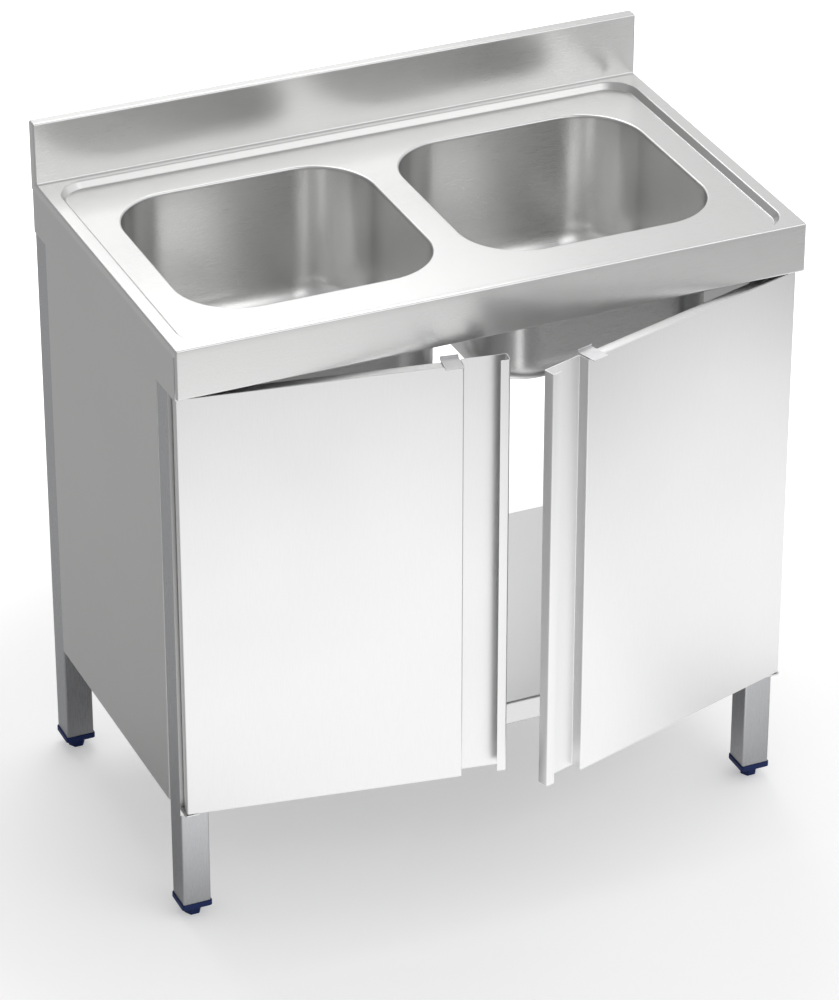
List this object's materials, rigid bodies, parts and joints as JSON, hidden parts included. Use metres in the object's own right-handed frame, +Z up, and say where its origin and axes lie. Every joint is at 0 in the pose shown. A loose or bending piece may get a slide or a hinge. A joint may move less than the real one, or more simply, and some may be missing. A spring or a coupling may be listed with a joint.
{
  "type": "stainless steel sink unit with base cabinet",
  "caption": "Free-standing stainless-steel sink unit: pressed worktop with twin bowls and splashback on a square-legged cabinet with hinged doors, a base shelf and screw feet.",
  "frame": {"origin": "centre of the unit's footprint on the floor, measured over the worktop and the doors as they stand ajar", "axes": "+Z up, +X to the right of someone who faces the doors, -Y out of the doors towards that person"},
  "size_m": [1, 0.7279, 1.1],
  "materials": {
    "worktop_steel": "satin, grain along the width",
    "bowl_steel": "fine satin",
    "door_steel": "satin, upright grain",
    "panel_steel": "satin, upright grain",
    "shelf_steel": "satin, grain along the width",
    "tube_steel": "satin, upright grain",
    "polished_steel": "semi-bright",
    "catch_steel": "pale satin",
    "navy_plastic": "dark blue, matt",
    "black_plastic": "matt",
    "black_rubber": "matt",
    "nylon": "natural white"
  },
  "bodies": {
    "sink_unit": {"worktop": "worktop_steel", "bowl_left": "bowl_steel", "bowl_right": "bowl_steel", "waste_strainer_left": "polished_steel", "waste_strainer_right": "polished_steel", "waste_washer_left": "black_rubber", "waste_washer_right": "black_rubber", "waste_nut_left": "black_plastic", "waste_nut_right": "black_plastic", "leg_front_left": "tube_steel", "leg_front_right": "tube_steel", "leg_rear_left": "tube_steel", "leg_rear_right": "tube_steel", "leg_cap_front_left": "navy_plastic", "leg_cap_front_right": "navy_plastic", "leg_cap_rear_left": "navy_plastic", "leg_cap_rear_right": "navy_plastic", "frame_front_rail": "tube_steel", "frame_rear_rail": "tube_steel", "frame_side_rail_left": "tube_steel", "frame_side_rail_right": "tube_steel", "worktop_stiffener": "tube_steel", "side_panel_left": "panel_steel", "side_panel_right": "panel_steel", "base_shelf": "shelf_steel", "shelf_stiffener": "tube_steel", "hinge_post_left": "panel_steel", "hinge_post_right": "panel_steel", "catch_magnet_left": "black_plastic", "catch_magnet_right": "black_plastic", "catch_strap_left": "tube_steel", "catch_strap_right": "tube_steel", "hinge_pin_left_top": "polished_steel", "hinge_pin_right_top": "polished_steel", "hinge_pin_left_bottom": "polished_steel", "hinge_pin_right_bottom": "polished_steel"},
    "door_left": {"door_left_skin": "door_steel", "door_left_inner_panel": "door_steel", "catch_plate_left": "catch_steel", "hinge_bush_left_top": "nylon", "hinge_bush_left_bottom": "nylon"},
    "door_right": {"door_right_skin": "door_steel", "door_right_inner_panel": "door_steel", "catch_plate_right": "catch_steel", "hinge_bush_right_top": "nylon", "hinge_bush_right_bottom": "nylon"},
    "foot_front_left": {"foot_front_left": "navy_plastic"},
    "foot_front_right": {"foot_front_right": "navy_plastic"},
    "foot_rear_left": {"foot_rear_left": "navy_plastic"},
    "foot_rear_right": {"foot_rear_right": "navy_plastic"}
  },
  "joints": [
    {"name": "door_left_hinge", "type": "hinge", "parent": "sink_unit", "child": "door_left", "pos_m": [-0.4845, -0.20903, 0.56], "axis": [0, 0, -1], "range_deg": [-9.4, 100.6]},
    {"name": "door_right_hinge", "type": "hinge", "parent": "sink_unit", "child": "door_right", "pos_m": [0.4845, -0.20903, 0.56], "axis": [0, 0, 1], "range_deg": [-17.6, 92.4]},
    {"name": "foot_front_left_screw", "type": "slide", "parent": "sink_unit", "child": "foot_front_left", "axis": [0, 0, -1], "range_m": [0, 0.025]},
    {"name": "foot_front_right_screw", "type": "slide", "parent": "sink_unit", "child": "foot_front_right", "axis": [0, 0, -1], "range_m": [0, 0.025]},
    {"name": "foot_rear_left_screw", "type": "slide", "parent": "sink_unit", "child": "foot_rear_left", "axis": [0, 0, -1], "range_m": [0, 0.025]},
    {"name": "foot_rear_right_screw", "type": "slide", "parent": "sink_unit", "child": "foot_rear_right", "axis": [0, 0, -1], "range_m": [0, 0.025]}
  ]
}
